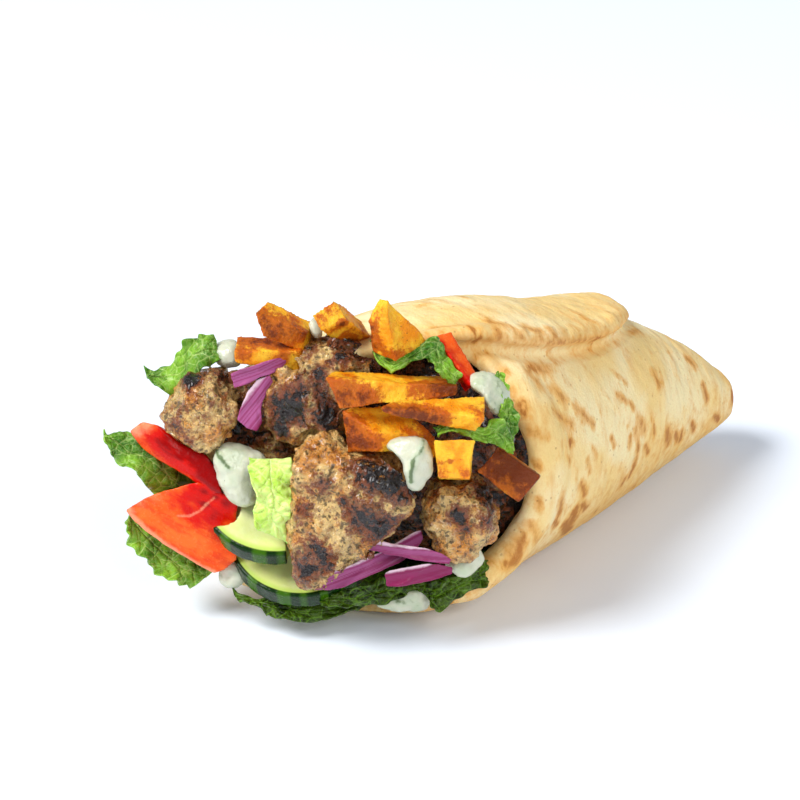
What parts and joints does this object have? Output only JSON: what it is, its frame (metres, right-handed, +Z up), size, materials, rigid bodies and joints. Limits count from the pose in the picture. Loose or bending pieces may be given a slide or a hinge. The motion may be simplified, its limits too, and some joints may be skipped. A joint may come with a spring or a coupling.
{
  "type": "pita sandwich",
  "caption": "Flatbread rolled into a cone round grilled chicken, potato fries, tomato, cucumber, red onion, lettuce and yoghurt sauce, lying on its side with its mouth open.",
  "frame": {"origin": "middle of the bounding box, at the level of the bread's underside", "axes": "+X from the open mouth to the closed tip, +Z up; the mouth also faces -Y"},
  "size_m": [0.1992, 0.0884, 0.0932],
  "materials": {
    "bread": "baked, matte, with browned patches",
    "chicken": "grilled, half gloss, charred in places",
    "potato": "fried, half gloss",
    "onion": "raw, moist",
    "tomato": "raw, moist",
    "cucumber": "raw, moist, dark green rind",
    "lettuce": "raw, half gloss",
    "pale_lettuce": "raw, half gloss",
    "sauce": "wet, smooth"
  },
  "bodies": {
    "root": {"pita": "bread", "lettuce_bed": "lettuce", "chicken_filling": "chicken", "chicken_front": "chicken", "chicken_right": "chicken", "chicken_left": "chicken", "chicken_middle": "chicken", "chicken_low_left": "chicken", "fry_top_left": "potato", "fry_left": "potato", "fry_top_middle": "potato", "fry_top_right": "potato", "fry_long": "potato", "fry_pointed": "potato", "fry_stub": "potato", "fry_square": "potato", "fry_skin": "potato", "onion_top_left": "onion", "onion_left": "onion", "onion_low": "onion", "onion_middle": "onion", "onion_right": "onion", "tomato_upper": "tomato", "tomato_lower": "tomato", "tomato_strip": "tomato", "cucumber_upper": "cucumber", "cucumber_lower": "cucumber", "sauce_left": "sauce", "sauce_top_left": "sauce", "sauce_middle": "sauce", "sauce_right": "sauce", "sauce_low_left": "sauce", "sauce_low": "sauce", "leaf_left_point": "lettuce", "leaf_left_ruffle": "lettuce", "leaf_top_left": "lettuce", "leaf_pale": "pale_lettuce", "leaf_under": "lettuce", "leaf_front": "lettuce", "leaf_low_right": "lettuce", "leaf_top": "lettuce", "leaf_right": "lettuce"}
  },
  "joints": []
}
